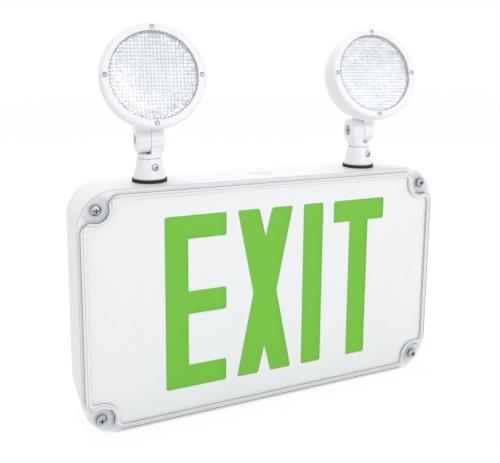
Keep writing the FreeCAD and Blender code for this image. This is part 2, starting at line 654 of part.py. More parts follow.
def bezel_screw_places():
    return [V(BEZEL_SCREW_R * math.sin(a), 0, LAMP_Z + BEZEL_SCREW_R * math.cos(a))
            for a in (0, math.pi / 2, math.pi, 3 * math.pi / 2)]


def bezel_screw_holes(radius):
    return [rod(radius, p + Y_AXIS * (FACE_Y - 2), p + Y_AXIS * (FACE_Y + 9)) for p in bezel_screw_places()]


def lamp_bezel(side):
    ring = lamp_turned([(BEZEL_IN_R, 0.6), (BEZEL_IN_R + 0.6, 0), (BEZEL_R - 2.6, 0), (BEZEL_R - 0.8, 0.7),
                        (BEZEL_R, 2.4), (BEZEL_R, BEZEL_SKIRT), (BODY_RIM_R + 0.1, BEZEL_SKIRT),
                        (BODY_RIM_R + 0.1, BEZEL_T), (BEZEL_IN_R, BEZEL_T)])
    holes = bezel_screw_holes(BEZEL_SHANK_R + FIT)
    holes += [rod(BEZEL_HEAD_R + 0.15, p + Y_AXIS * (FACE_Y - 2), p + Y_AXIS * (FACE_Y + 0.9))
              for p in bezel_screw_places()]
    return place_head(side, ring.cut(holes))


def lamp_lens(side):
    back = BEZEL_T + LENS_T
    lens = lamp_turned([(0, 0.9), (BEZEL_IN_R - 1.4, 0.9), (BEZEL_IN_R - 0.3, BEZEL_T), (LENS_R, BEZEL_T),
                        (LENS_R, back), (0, back)])
    return place_head(side, lens)


def lens_gasket(side):
    front = BEZEL_T + LENS_T
    return place_head(side, lamp_turned([(BORE_R, front), (LENS_R, front), (LENS_R, front + LENS_GASKET_T),
                                         (BORE_R, front + LENS_GASKET_T)]))


def lamp_reflector(side):
    front = BEZEL_T + LENS_T + LENS_GASKET_T
    outer = [(BORE_R - 0.1, front + 0.2), (BORE_R - 7.9, front + 12.0), (17.0, BOARD_Y)]
    inner = [(16.0, BOARD_Y), (BORE_R - 8.9, front + 11.4), (BORE_R - 1.1, front + 0.2)]
    return place_head(side, lamp_turned(outer + inner))


def lamp_led_board(side):
    centre = V(0, FACE_Y, LAMP_Z)
    board = rod(18.0, centre + Y_AXIS * BOARD_Y, centre + Y_AXIS * (BODY_DEPTH - 2.5))
    domes = []
    for k in range(3):
        a = math.radians(90 + 120 * k)
        p = centre + V(7 * math.cos(a), BOARD_Y, 7 * math.sin(a))
        domes.append(rod(2.6, p - Y_AXIS * 2.4, p + Y_AXIS * 0.5))
    return place_head(side, board.common(lamp_turned([(0, 0)] + [(BACK_R + 6, 0), (BACK_R + 6, BODY_DEPTH - 8),
                                                                (BACK_R - 4, BODY_DEPTH - 2.5),
                                                                (0, BODY_DEPTH - 2.5)])).fuse(domes))


def bezel_screws(side):
    for i, p in enumerate(bezel_screw_places(), 1):
        screw = pan_screw(BEZEL_HEAD_R, 1.3, BEZEL_SHANK_R, 7.6, p + Y_AXIS * (FACE_Y + 0.9), -Y_AXIS)
        export(f"{side}_bezel_screw_{i}", place_head(side, screw))


def lamp_head(side):
    export(f"{side}_swivel_base", swivel_base(side))
    export(f"{side}_set_screw", set_screw(side))
    export(f"{side}_base_gasket", base_gasket(side))
    export(f"{side}_base_locknut", base_locknut(side))
    export(f"{side}_knuckle", knuckle(side))
    export(f"{side}_tilt_screw", tilt_screw(side))
    export(f"{side}_tilt_nut", tilt_nut(side))
    export(f"{side}_lamp_housing", lamp_housing(side))
    export(f"{side}_lamp_bezel", lamp_bezel(side))
    export(f"{side}_lamp_lens", lamp_lens(side))
    export(f"{side}_lens_gasket", lens_gasket(side))
    export(f"{side}_lamp_reflector", lamp_reflector(side))
    export(f"{side}_lamp_led_board", lamp_led_board(side))
    bezel_screws(side)


export("back_housing", back_housing())
export("cover_gasket", cover_gasket())
export("clear_cover", clear_cover())
cover_fastenings()
export("exit_stencil", exit_stencil())
export("letter_lens", letter_lens())
export("light_tray", light_tray())
export("led_board_top", led_board(LED_BOARD_Z))
export("led_board_bottom", led_board(-LED_BOARD_Z))
export("charger_board", charger_board())
export("transformer", transformer())
export("battery_pack", battery_pack())
export("battery_strap", battery_strap())
export("conduit_plug", conduit_plug())
export("test_bush", test_bush())
export("test_button", test_button())
export("test_switch", test_switch())
export("pilot_lens", pilot_lens())
for lamp_side in SIDES:
    lamp_head(lamp_side)
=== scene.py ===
"""Emergency exit light for wet places, with two swivelling lamp heads.

Metres, +Z up, the sign faces -Y and the wall is the plane Y = 0. The origin is the centre of the
back face of the housing. The sections follow the order in which the light is put together.
"""
import json
import math
import bmesh
import bpy
from mathutils import Matrix, Vector


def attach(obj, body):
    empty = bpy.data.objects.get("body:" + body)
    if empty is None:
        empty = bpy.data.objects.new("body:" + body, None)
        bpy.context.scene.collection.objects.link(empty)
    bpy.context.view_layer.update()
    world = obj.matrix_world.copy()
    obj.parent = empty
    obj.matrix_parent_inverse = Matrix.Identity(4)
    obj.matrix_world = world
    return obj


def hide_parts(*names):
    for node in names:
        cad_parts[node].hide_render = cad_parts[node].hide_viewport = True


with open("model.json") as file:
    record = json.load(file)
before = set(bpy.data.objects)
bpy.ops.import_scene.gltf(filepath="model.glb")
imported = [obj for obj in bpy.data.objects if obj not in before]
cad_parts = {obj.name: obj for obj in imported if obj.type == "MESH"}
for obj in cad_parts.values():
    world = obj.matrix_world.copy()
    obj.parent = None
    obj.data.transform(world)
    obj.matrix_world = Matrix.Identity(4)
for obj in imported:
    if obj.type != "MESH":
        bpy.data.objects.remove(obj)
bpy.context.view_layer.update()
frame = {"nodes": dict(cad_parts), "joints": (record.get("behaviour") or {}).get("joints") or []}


# ---- back housing ----------------------------------------------------------------------------
# The deep tub that carries everything: injection-moulded white polycarbonate, satin from the tool,
# with a slightly drafted side wall, ribbed dry corners and an open front closed by the cover.

def linear(code):
    """A colour written as sRGB hex, as the linear numbers that shaders take."""
    channels = [int(code[i:i + 2], 16) / 255 for i in (1, 3, 5)]
    return [c / 12.92 if c <= 0.04045 else ((c + 0.055) / 1.055) ** 2.4 for c in channels] + [1.0]


def per(millimetres):
    """The texture scale at which one pattern cell is that many millimetres."""
    return 1000.0 / millimetres


def add(tree, kind, inputs=None, **settings):
    """Adds one node: settings are its own fields, inputs are plain values or (node, output) links."""
    made = tree.nodes.new(kind)
    for field, value in settings.items():
        setattr(made, field, value)
    for name, value in (inputs or {}).items():
        if isinstance(value, tuple) and isinstance(value[0], bpy.types.Node):
            tree.links.new(value[0].outputs[value[1]], made.inputs[name])
        else:
            made.inputs[name].default_value = value
    return made


def blend(tree, share, low, high):
    """Mixes two colours, each an sRGB code or a (node, output) link, by a share that is a link."""
    ends = [linear(colour) if isinstance(colour, str) else colour for colour in (low, high)]
    return add(tree, "ShaderNodeMix", {0: share, 6: ends[0], 7: ends[1]}, data_type="RGBA")


def finish_named(name):
    """An empty material and its node tree."""
    made = bpy.data.materials.new(name)
    made.use_nodes = True
    made.node_tree.nodes.clear()
    return made, made.node_tree


def moulded(name, light, dark, roughness, patch=45.0, grain=0.45, relief=0.12, **surface):
    """Moulded plastic or rubber: two close tones in soft patches and the fine texture of the tool."""
    spread = 0.06
    made, tree = finish_named(name)
    place = add(tree, "ShaderNodeTexCoord")
    patches = add(tree, "ShaderNodeTexNoise",
                  {"Vector": (place, "Object"), "Scale": per(patch), "Detail": 3.0, "Roughness": 0.55})
    texture = add(tree, "ShaderNodeTexNoise",
                  {"Vector": (place, "Object"), "Scale": per(grain), "Detail": 2.0, "Roughness": 0.5})
    tone = blend(tree, (patches, 0), light, dark)
    sheen = add(tree, "ShaderNodeMapRange", {"Value": (patches, 0), "To Min": roughness - spread,
                                             "To Max": roughness + spread})
    bump = add(tree, "ShaderNodeBump", {"Height": (texture, 0), "Strength": relief, "Distance": 0.0001})
    shader = add(tree, "ShaderNodeBsdfPrincipled", {"Base Color": (tone, 2), "Roughness": (sheen, 0),
                                                    "Normal": (bump, 0)} | surface)
    add(tree, "ShaderNodeOutputMaterial", {"Surface": (shader, 0)})
    return made


def dress(node, finish):
    """Gives a CAD node its finish."""
    for place in frame["nodes"][node].material_slots:
        place.material = finish


# Satin white: the broad soft tone of the side walls, with a dull highlight.
white_polycarbonate = moulded("white polycarbonate", "#F0F1F3", "#EAEBEE", 0.42, grain=0.5, relief=0.10,
                              **{"IOR": 1.58, "Subsurface Weight": 0.04, "Subsurface Scale": 0.002})
dress("back_housing", white_polycarbonate)


# ---- cover gasket ----------------------------------------------------------------------------
# A closed loop of milky white silicone that lies in the housing's ledge and passes inside each screw.
# It is moulded soft, so its skin is dull and slightly dusty.

milky_silicone = moulded("clear white silicone", "#E9EBEE", "#E2E5E9", 0.66, patch=12.0, grain=0.3,
                         relief=0.2, **{"IOR": 1.41})
dress("cover_gasket", milky_silicone)


# ---- power supply on the back wall -----------------------------------------------------------
# A charger board on four stand-offs, a small laminated transformer and a sleeved pack of four
# cells under a bent steel strap, all pressed onto pins of the housing.

def banded(name, base, raised, level, roughness, size=2.2):
    """A board or core whose raised parts, in front of a level, have a colour of their own."""
    made, tree = finish_named(name)
    place = add(tree, "ShaderNodeTexCoord")
    split = add(tree, "ShaderNodeSeparateXYZ", {0: (place, "Object")})
    above = add(tree, "ShaderNodeMath", {0: (split, "Y"), 1: level}, operation="LESS_THAN")
    cells = add(tree, "ShaderNodeTexVoronoi", {"Vector": (place, "Object"), "Scale": per(size)},
                feature="F1", distance="CHEBYCHEV")
    tracks = add(tree, "ShaderNodeMapRange", {"Value": (cells, "Distance"), "From Min": 0.25,
                                              "From Max": 0.55, "To Min": 0.0, "To Max": 0.35})
    ground = blend(tree, (tracks, 0), base, "#E9ECDD")
    tone = blend(tree, (above, 0), (ground, 2), raised)
    bump = add(tree, "ShaderNodeBump", {"Height": (cells, "Distance"), "Strength": 0.2,
                                        "Distance": 0.0002})
    shader = add(tree, "ShaderNodeBsdfPrincipled", {"Base Color": (tone, 2), "Roughness": roughness,
                                                    "Normal": (bump, 0)})
    add(tree, "ShaderNodeOutputMaterial", {"Surface": (shader, 0)})
    return made


def plated(name, bright, dull, roughness, hollow=0.0008):
    """Plated steel: metal with fine scratches, its colour darkened by painted shade where a recess
    shuts the light out.
    """
    spread = 0.08
    made, tree = finish_named(name)
    place = add(tree, "ShaderNodeTexCoord")
    lines = add(tree, "ShaderNodeTexNoise", {"Vector": (place, "Object"), "Scale": per(0.8),
                                             "Detail": 4.0})
    tone = blend(tree, (lines, 0), bright, dull)
    # Painted shade: occlusion darkens the colour towards near black inside recesses.
    shade = add(tree, "ShaderNodeAmbientOcclusion", {"Distance": hollow}, samples=8)
    deep = add(tree, "ShaderNodeMapRange", {"Value": (shade, "AO"), "From Min": 0.45, "From Max": 0.85,
                                            "To Min": 1.0, "To Max": 0.0})
    painted_recess_shade = blend(tree, (deep, 0), (tone, 2), "#101216")
    sheen = add(tree, "ShaderNodeMapRange", {"Value": (lines, 0), "To Min": roughness - spread,
                                             "To Max": roughness + spread})
    shader = add(tree, "ShaderNodeBsdfPrincipled", {"Base Color": (painted_recess_shade, 2), "Roughness": (sheen, 0),
                                                    "Metallic": 1.0})
    add(tree, "ShaderNodeOutputMaterial", {"Surface": (shader, 0)})
    return made


# Green fibreglass board with pale tracks; the parts standing on it are dark.
dress("charger_board", banded("green circuit board", "#1F6B3A", "#26282B", -0.0107, 0.45))
# Blue-grey steel laminations with yellow tape over the winding.
dress("transformer", banded("laminated core and taped winding", "#D8B33A", "#6C7178", -0.0255, 0.5,
                            size=0.5))
# Heat-shrunk sleeve, glossy, with soft wrinkles.
dress("battery_pack", moulded("blue shrink sleeve", "#2A5DA8", "#234E90", 0.28, patch=18.0, grain=4.0,
                              relief=0.35, **{"Coat Weight": 0.3}))
zinc_plate = plated("zinc-plated steel", "#C9CCD1", "#A9ADB4", 0.26)
dress("battery_strap", zinc_plate)


# ---- light box -------------------------------------------------------------------------------
# A white reflecting tray on four posts, with two strips of LEDs, and in its mouth the green
# diffusing lens that shows through the cut letters.

# Matt white, so that the two strips spread into an even field.
dress("light_tray", moulded("matt white polystyrene", "#F4F4F2", "#EEEEEB", 0.7))
# White solder mask; the LED packages standing on it are pale yellow.
led_strip = banded("white board with yellow LEDs", "#F1F1EE", "#E8D46A", -0.0415, 0.4, size=6.0)
dress("led_board_top", led_strip)
dress("led_board_bottom", led_strip)
# Green acrylic, even and a little translucent, so the letters read as a flat bright field.
letter_green = moulded("green diffusing acrylic", "#6DC218", "#69BE16", 0.5, patch=60.0, relief=0.05,
                       **{"Subsurface Weight": 0.05, "Subsurface Scale": 0.001})
dress("letter_lens", letter_green)


# ---- stencil plate ---------------------------------------------------------------------------
# A white polycarbonate face plate: EXIT is cut right through it, a knock-out chevron each side is
# scored but left in, and a shallow skirt stands it off inside the clear cover.

SCREW_X, SCREW_Z = 0.1564, 0.0882        # the cover screws that every corner runs round
STENCIL_FRONT = -0.0606
STENCIL_T = 0.0012
STENCIL_W, STENCIL_H = 0.1652, 0.0957    # half its width and height
STENCIL_HOLLOW = 0.0143                  # the radius of the hollow round each screw
STENCIL_FILLET = 0.0042
SKIRT_DEPTH = 0.0068
LETTER_TOP = 0.0771
LETTER_FOOT = -0.0753
LETTER_STROKE = 0.0203
LETTER_ROUND = 0.0022
INNER_EASE = 0.35                        # the share of that rounding in an inner corner
E_LEFT, E_RIGHT = -0.1009, -0.0460
X_LEFT, X_RIGHT = -0.0356, 0.0178
I_LEFT = 0.0288
T_LEFT, T_RIGHT = 0.0602, 0.1150
SCORE_R = 0.00024


def arc(centre, radius, start, end, steps):
    """Points on an arc, from one angle to the other, both ends included."""
    return [(centre[0] + radius * math.cos(start + (end - start) * k / steps),
             centre[1] + radius * math.sin(start + (end - start) * k / steps))
            for k in range(steps + 1)]


def scalloped(half_w, half_h, hollow, fillet):
    """The outline of the plate: at each corner a fillet, a hollow round the screw and a fillet."""
    reach = hollow + fillet
    top = (SCREW_X - math.sqrt(reach ** 2 - (half_h - fillet - SCREW_Z) ** 2), half_h - fillet)
    side = (half_w - fillet, SCREW_Z - math.sqrt(reach ** 2 - (half_w - fillet - SCREW_X) ** 2))
    to_top = math.atan2(top[1] - SCREW_Z, top[0] - SCREW_X)
    to_side = math.atan2(side[1] - SCREW_Z, side[0] - SCREW_X)
    corner = arc(top, fillet, math.pi / 2, to_top - math.pi, 10)
    corner += arc((SCREW_X, SCREW_Z), hollow, to_top, to_side + 2 * math.pi, 18)[1:-1]
    corner += arc(side, fillet, to_side + math.pi, 0.0, 10)
    outline = []
    for sx, sz in ((1, 1), (1, -1), (-1, -1), (-1, 1)):
        quarter = [(x * sx, z * sz) for x, z in corner]
        outline += quarter if sx * sz > 0 else quarter[::-1]
    return outline


def rounded(points, radius):
    """The same outline with its outer corners rounded and its inner corners eased."""
    steps = 5
    turned = []
    for i, here in enumerate(points):
        corner = Vector(here)
        back = (Vector(points[i - 1]) - corner).normalized()
        ahead = (Vector(points[(i + 1) % len(points)]) - corner).normalized()
        cut = radius if back.cross(ahead) < 0 else radius * INNER_EASE
        a, b = corner + back * cut, corner + ahead * cut
        for k in range(steps + 1):
            t = k / steps
            turned.append(tuple(a * (1 - t) ** 2 + corner * 2 * t * (1 - t) + b * t ** 2))
    return turned


def plate(name, outlines, front, thickness, bevel=0.0):
    """A flat plate in the plane of the sign; the outlines after the first are openings."""
    drawn = bpy.data.curves.new(name, "CURVE")
    drawn.dimensions = "2D"
    drawn.fill_mode = "BOTH"
    drawn.extrude = thickness / 2 - bevel
    drawn.bevel_depth = bevel
    drawn.bevel_resolution = 2
    drawn.offset = -bevel
    for outline in outlines:
        spline = drawn.splines.new("POLY")
        spline.points.add(len(outline) - 1)
        for point, (x, z) in zip(spline.points, outline):
            point.co = (x, z, 0, 1)
        spline.use_cyclic_u = True
    holder = bpy.data.objects.new(name, drawn)
    bpy.context.scene.collection.objects.link(holder)
    mesh = bpy.data.meshes.new_from_object(holder.evaluated_get(bpy.context.evaluated_depsgraph_get()))
    bpy.data.objects.remove(holder)
    upright = Matrix.Rotation(math.pi / 2, 4, "X")
    mesh.transform(Matrix.Translation((0, front + thickness / 2, 0)) @ upright)
    merged = bmesh.new()
    merged.from_mesh(mesh)
    bmesh.ops.remove_doubles(merged, verts=merged.verts, dist=1e-7)
    bmesh.ops.recalc_face_normals(merged, faces=merged.faces)
    merged.to_mesh(mesh)
    merged.free()
    made = bpy.data.objects.new(name, mesh)
    bpy.context.scene.collection.objects.link(made)
    return made


def mirrored(points):
    """The same outline on the other side of the sign."""
    return [(-x, z) for x, z in points[::-1]]


top, foot, stroke = LETTER_TOP, LETTER_FOOT, LETTER_STROKE
middle = (top + foot) / 2
e_stem = E_LEFT + stroke
letter_e = [(E_LEFT, foot), (E_RIGHT, foot), (E_RIGHT, foot + stroke), (e_stem, foot + stroke),
            (e_stem, middle - stroke / 2), (E_RIGHT, middle - stroke / 2),
            (E_RIGHT, middle + stroke / 2), (e_stem, middle + stroke / 2),
            (e_stem, top - stroke), (E_RIGHT, top - stroke), (E_RIGHT, top), (E_LEFT, top)]
x_arm, x_notch, x_waist = 0.0206, 0.0250, stroke * 0.56      # arm width, notch depth, half waist
x_mid = (X_LEFT + X_RIGHT) / 2
letter_x = [(X_LEFT, foot), (X_LEFT + x_arm, foot), (x_mid, foot + x_notch), (X_RIGHT - x_arm, foot),
            (X_RIGHT, foot), (x_mid + x_waist, middle), (X_RIGHT, top), (X_RIGHT - x_arm, top),
            (x_mid, top - x_notch), (X_LEFT + x_arm, top), (X_LEFT, top), (x_mid - x_waist, middle)]
letter_i = [(I_LEFT, foot), (I_LEFT + stroke, foot), (I_LEFT + stroke, top), (I_LEFT, top)]
t_mid = (T_LEFT + T_RIGHT) / 2
letter_t = [(t_mid - stroke / 2, foot), (t_mid + stroke / 2, foot), (t_mid + stroke / 2, top - stroke),
            (T_RIGHT, top - stroke), (T_RIGHT, top), (T_LEFT, top), (T_LEFT, top - stroke),
            (t_mid - stroke / 2, top - stroke)]
chevron = [(0.1510, 0.0), (0.1380, 0.0215), (0.1200, 0.0215), (0.1330, 0.0), (0.1200, -0.0215),
           (0.1380, -0.0215)]

face_outline = scalloped(STENCIL_W, STENCIL_H, STENCIL_HOLLOW, STENCIL_FILLET)
skirt_inside = scalloped(STENCIL_W - STENCIL_T, STENCIL_H - STENCIL_T, STENCIL_HOLLOW + STENCIL_T,
                         STENCIL_FILLET - STENCIL_T)
letters = [rounded(letter, LETTER_ROUND) for letter in (letter_e, letter_x, letter_i, letter_t)]
stencil = plate("stencil_plate", [face_outline] + letters, STENCIL_FRONT, STENCIL_T, bevel=0.0002)
skirt = plate("stencil_skirt", [face_outline, skirt_inside], STENCIL_FRONT + STENCIL_T, SKIRT_DEPTH)

scores = []
for number, outline in enumerate((chevron, mirrored(chevron)), 1):
    drawn = bpy.data.curves.new("score", "CURVE")
    drawn.dimensions = "3D"
    drawn.bevel_depth = SCORE_R
    drawn.bevel_resolution = 1
    spline = drawn.splines.new("POLY")
    spline.points.add(len(outline) - 1)
    for point, (x, z) in zip(spline.points, outline):
        point.co = (x, STENCIL_FRONT, z, 1)
    spline.use_cyclic_u = True
    line = bpy.data.objects.new("score", drawn)
    bpy.context.scene.collection.objects.link(line)
    mesh = bpy.data.meshes.new_from_object(line.evaluated_get(bpy.context.evaluated_depsgraph_get()))
    bpy.data.objects.remove(line)
    cutter = bpy.data.objects.new("score", mesh)
    bpy.context.scene.collection.objects.link(cutter)
    cut = stencil.modifiers.new("score", "BOOLEAN")
    cut.operation = "DIFFERENCE"
    cut.solver = "EXACT"
    cut.object = cutter
    scores.append(cutter)
scored = bpy.data.meshes.new_from_object(stencil.evaluated_get(bpy.context.evaluated_depsgraph_get()))
stencil.modifiers.clear()
stencil.data = scored
for cutter in scores:
    bpy.data.objects.remove(cutter)

# Very even, faintly cool white, smoother than the housing because the cover keeps it clean.
face_white = moulded("white polycarbonate sheet", "#EEF0F1", "#EBEDEF", 0.36, patch=90.0, relief=0.04,
                     **{"IOR": 1.58})
for piece in (stencil, skirt):
    piece.data.materials.clear()
    piece.data.materials.append(face_white)
    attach(piece, "sign")
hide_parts("exit_stencil")


# ---- clear cover -----------------------------------------------------------------------------
# One clear polycarbonate moulding: a flange over the housing's rim and a raised panel whose wall
# runs inside the screws. The panel is nearly invisible; the flange is painted whitish as painted
# light, and the wall's outer side is painted as a grey line of shade.

FLANGE_Y = -0.06005                      # the raised wall stands forward of this
WALL_X, WALL_Z, WALL_R = 0.1668, 0.0973, 0.0127      # the inner side of that wall
WALL_BLEND = 0.011                       # how far its fillets reach
STRIP_START = 0.0017                     # how far short of the wall its whitish strip begins
INNER_LINE = 0.0004                      # half the width of the faint line at the inner corner
OUTER_LINE = 0.0013                      # where the dark outer corner starts
POCKET_R, CORNER_R = 0.0105, 0.0150      # round a screw: the pocket's edge and the flange's corner

clear_cover_finish, tree = finish_named("clear polycarbonate cover")
place = add(tree, "ShaderNodeTexCoord")
facing = add(tree, "ShaderNodeSeparateXYZ", {0: (place, "Normal")})
spot = add(tree, "ShaderNodeSeparateXYZ", {0: (place, "Object")})
flat = add(tree, "ShaderNodeMath", {0: (facing, "Y")}, operation="ABSOLUTE")
edge = add(tree, "ShaderNodeMath", {0: 1.0, 1: (flat, 0)}, operation="SUBTRACT", use_clamp=True)
proud = add(tree, "ShaderNodeMath", {0: (spot, "Y"), 1: FLANGE_Y}, operation="LESS_THAN")

# How far inside the wall's thickness a point lies: past the straight sides, or within a hollow.
quarter = add(tree, "ShaderNodeVectorMath", {0: (place, "Object")}, operation="ABSOLUTE")
inset = add(tree, "ShaderNodeVectorMath", {0: (quarter, 0), 1: (WALL_X, 0, WALL_Z)},
            operation="SUBTRACT")
past = add(tree, "ShaderNodeSeparateXYZ", {0: (inset, 0)})
from_screw = add(tree, "ShaderNodeVectorMath", {0: (quarter, 0), 1: (SCREW_X, 0, SCREW_Z)},
                 operation="SUBTRACT")
level_with = add(tree, "ShaderNodeVectorMath", {0: (from_screw, 0), 1: (1, 0, 1)}, operation="MULTIPLY")
reach = add(tree, "ShaderNodeVectorMath", {0: (level_with, 0)}, operation="LENGTH")
hollow = add(tree, "ShaderNodeMath", {0: WALL_R, 1: (reach, "Value")}, operation="SUBTRACT")
straight = add(tree, "ShaderNodeMath", {0: (past, "X"), 1: (past, "Z")}, operation="MAXIMUM")
inside = add(tree, "ShaderNodeMath", {0: (straight, 0), 1: (hollow, 0), 2: WALL_BLEND},
             operation="SMOOTH_MAX")
strip = add(tree, "ShaderNodeMath", {0: (inside, 0), 1: -STRIP_START}, operation="GREATER_THAN")
corner_line = add(tree, "ShaderNodeMath", {0: (inside, 0), 1: 0.0, 2: INNER_LINE}, operation="COMPARE")

# The outer side of the raised wall is painted grey as painted shade, a little darker where it faces
# right or down; the side walls behind it are nearly clear.
across = add(tree, "ShaderNodeMath", {0: (facing, "X"), 1: (spot, "X")}, operation="MULTIPLY")
upward = add(tree, "ShaderNodeMath", {0: (facing, "Z"), 1: (spot, "Z")}, operation="MULTIPLY")
outward = add(tree, "ShaderNodeMath", {0: (across, 0), 1: (upward, 0)}, operation="ADD")
outside = add(tree, "ShaderNodeMath", {0: (outward, 0), 1: 0.0}, operation="GREATER_THAN")
rim = add(tree, "ShaderNodeMath", {0: (outside, 0), 1: (proud, 0)}, operation="MULTIPLY")
lean = add(tree, "ShaderNodeMath", {0: (facing, "X"), 1: (facing, "Z")}, operation="SUBTRACT")
painted_shade_side = add(tree, "ShaderNodeMapRange", {"Value": (lean, 0), "From Min": -1.0, "From Max": 1.0})
shaded = blend(tree, (painted_shade_side, 0), "#828996", "#7A808D")
walls = blend(tree, (rim, 0), "#C9CDD4", (shaded, 2))
wall = add(tree, "ShaderNodeMapRange", {"Value": (rim, 0), "To Min": 0.2, "To Max": 0.93})

# In front, the wall's thickness is painted whitish as painted light, with a faint painted line at
# its inner corner and, on the right and below, a painted dark line of shade at its outer corner.
to_right = add(tree, "ShaderNodeMath", {0: (spot, "X"), 1: 0.0}, operation="GREATER_THAN")
below = add(tree, "ShaderNodeMath", {0: (spot, "Z"), 1: 0.0}, operation="LESS_THAN")
sideways = add(tree, "ShaderNodeMath", {0: (past, "X"), 1: (past, "Z")}, operation="GREATER_THAN")
dark_side = add(tree, "ShaderNodeMix", {0: (sideways, 0), 2: (below, 0), 3: (to_right, 0)},
                data_type="FLOAT")
outer_corner = add(tree, "ShaderNodeMath", {0: (inside, 0), 1: OUTER_LINE}, operation="GREATER_THAN")
dark_line = add(tree, "ShaderNodeMath", {0: (outer_corner, 0), 1: (dark_side, 0)}, operation="MULTIPLY")
painted_light_strip = blend(tree, (corner_line, 0), "#F1F3F5", "#D0D4DA")
lined = add(tree, "ShaderNodeMath", {0: (dark_line, 0), 1: (proud, 0)}, operation="MULTIPLY")
band = blend(tree, (lined, 0), (painted_light_strip, 2), "#848A97")
faces = blend(tree, (strip, 0), "#FAFBFC", (band, 2))
panel = add(tree, "ShaderNodeMapRange", {"Value": (strip, 0), "To Min": 0.012, "To Max": 0.85})
# The flange is painted almost opaque white over the rim as painted light, and a little clearer over
# the pockets round each screw.
flange = add(tree, "ShaderNodeMapRange", {"Value": (reach, "Value"), "From Min": POCKET_R,
                                          "From Max": CORNER_R, "To Min": 0.68, "To Max": 0.96},
             interpolation_type="SMOOTHSTEP")
veil = add(tree, "ShaderNodeMix", {0: (proud, 0), 2: (flange, 0), 3: (panel, 0)}, data_type="FLOAT")

tone = blend(tree, (edge, 0), (faces, 2), (walls, 2))
density = add(tree, "ShaderNodeMix", {0: (edge, 0), 2: (veil, 0), 3: (wall, 0)}, data_type="FLOAT")
ripple = add(tree, "ShaderNodeTexNoise", {"Vector": (place, "Object"), "Scale": per(30.0),
                                          "Detail": 1.0})
bump = add(tree, "ShaderNodeBump", {"Height": (ripple, 0), "Strength": 0.05, "Distance": 0.0005})
shader = add(tree, "ShaderNodeBsdfPrincipled", {"Base Color": (tone, 2), "Roughness": 0.05, "IOR": 1.58,
                                                "Alpha": (density, 0), "Normal": (bump, 0)})
add(tree, "ShaderNodeOutputMaterial", {"Surface": (shader, 0)})
dress("clear_cover", clear_cover_finish)


# ---- cover screws ----------------------------------------------------------------------------
# Four bright pan-head screws with a cross recess, each on a steel-faced sealing washer, driven
# through the flange into the bosses of the housing.

# Bright steel with its recess painted nearly black as shade, and a washer whose painted shade
# darkens it towards the head on it.
bright_steel = plated("stainless steel", "#C9CDD3", "#A2A7AF", 0.18, hollow=0.0016)
washer_steel = plated("stainless washer", "#D4D7DC", "#BBC0C7", 0.3, hollow=0.0016)
for number in range(1, 5):
    dress(f"cover_screw_{number}", bright_steel)
    dress(f"sealing_washer_{number}", washer_steel)


# ---- fittings in the side and top ------------------------------------------------------------
# A flush plug for the top conduit entry, and on the side wall a red push-to-test button in its
# bush with the micro switch behind it, and a red charge pilot.

# The plug is a separate moulding, a shade greyer than the housing round it.
dress("conduit_plug", moulded("light grey nylon", "#E4E6E9", "#DFE1E5", 0.5))
# Two dull blacks: the bush is a dark ring round the button, and the switch hides behind it.
dress("test_bush", moulded("black nylon", "#1D1E20", "#26272A", 0.45, relief=0.15))
dress("test_switch", moulded("black phenolic", "#202124", "#2A2B2F", 0.55, relief=0.2))
# Opaque satin red; the pilot beside it is glossy and lets light into its depth.
dress("test_button", moulded("red acetal", "#C4262B", "#B82227", 0.35, relief=0.08))
dress("pilot_lens", moulded("red clear acrylic", "#D6222A", "#C81E26", 0.12, relief=0.02,
                            **{"Transmission Weight": 0.6, "IOR": 1.49}))


# ---- swivel bases and knuckles ---------------------------------------------------------------
# Each head stands on a tapered base, sealed by a rubber ring and held by a locknut inside; a set
# screw grips the knuckle's stem, and a cross screw clamps the two halves of the hinge drum.

# Dull black with a fine grain: a dark line under the base.
black_rubber = moulded("black rubber", "#17181A", "#222326", 0.72, patch=12.0, grain=0.3, relief=0.25,
                       **{"IOR": 1.5})
# The small mouldings are glossier and a little whiter than the housing.
glossy_white = moulded("glossy white polycarbonate", "#F2F3F5", "#EEEFF2", 0.30, patch=30.0,
                       relief=0.05, **{"IOR": 1.58, "Subsurface Weight": 0.04,
                                       "Subsurface Scale": 0.002})
# Undyed nylon, a warm cream beside the whites.
natural_nylon = moulded("natural nylon", "#E2DDCF", "#DAD5C6", 0.5)
# Bright plating, with painted shade darkening the recess.
bright_zinc = plated("bright zinc plate", "#D5D8DC", "#AEB3BA", 0.3, hollow=0.0006)
for side in ("left", "right"):
    dress(f"{side}_swivel_base", glossy_white)
    dress(f"{side}_base_gasket", black_rubber)
    dress(f"{side}_base_locknut", natural_nylon)
    dress(f"{side}_set_screw", bright_zinc)
    dress(f"{side}_knuckle", glossy_white)
    dress(f"{side}_tilt_screw", bright_zinc)
    dress(f"{side}_tilt_nut", zinc_plate)


# ---- lamp housings and their insides ---------------------------------------------------------
# A round white bowl with the hinge arm moulded on; in it a metallised reflector round a small
# white board with three LEDs, and a silicone ring that the lens presses on.

# Bright metal over plastic in small facets, each painted a little lighter or darker as painted light
# and shade for the light it sends back.
reflector_metal, tree = finish_named("vacuum-metallised reflector")
place = add(tree, "ShaderNodeTexCoord")
facets = add(tree, "ShaderNodeTexVoronoi", {"Vector": (place, "Object"), "Scale": per(3.0)},
             feature="F1", distance="CHEBYCHEV")
shares = add(tree, "ShaderNodeSeparateColor", {0: (facets, "Color")})
painted_facet_shade = add(tree, "ShaderNodeMapRange", {"Value": (shares, 0), "From Min": 0.55, "From Max": 0.75})
tone = blend(tree, (painted_facet_shade, 0), "#FFFFFF", "#D8DBE0")
bump = add(tree, "ShaderNodeBump", {"Height": (facets, "Distance"), "Strength": 0.3,
                                    "Distance": 0.0004})
shader = add(tree, "ShaderNodeBsdfPrincipled", {"Base Color": (tone, 2), "Metallic": 0.4,
                                                "Roughness": 0.25, "Normal": (bump, 0)})
add(tree, "ShaderNodeOutputMaterial", {"Surface": (shader, 0)})
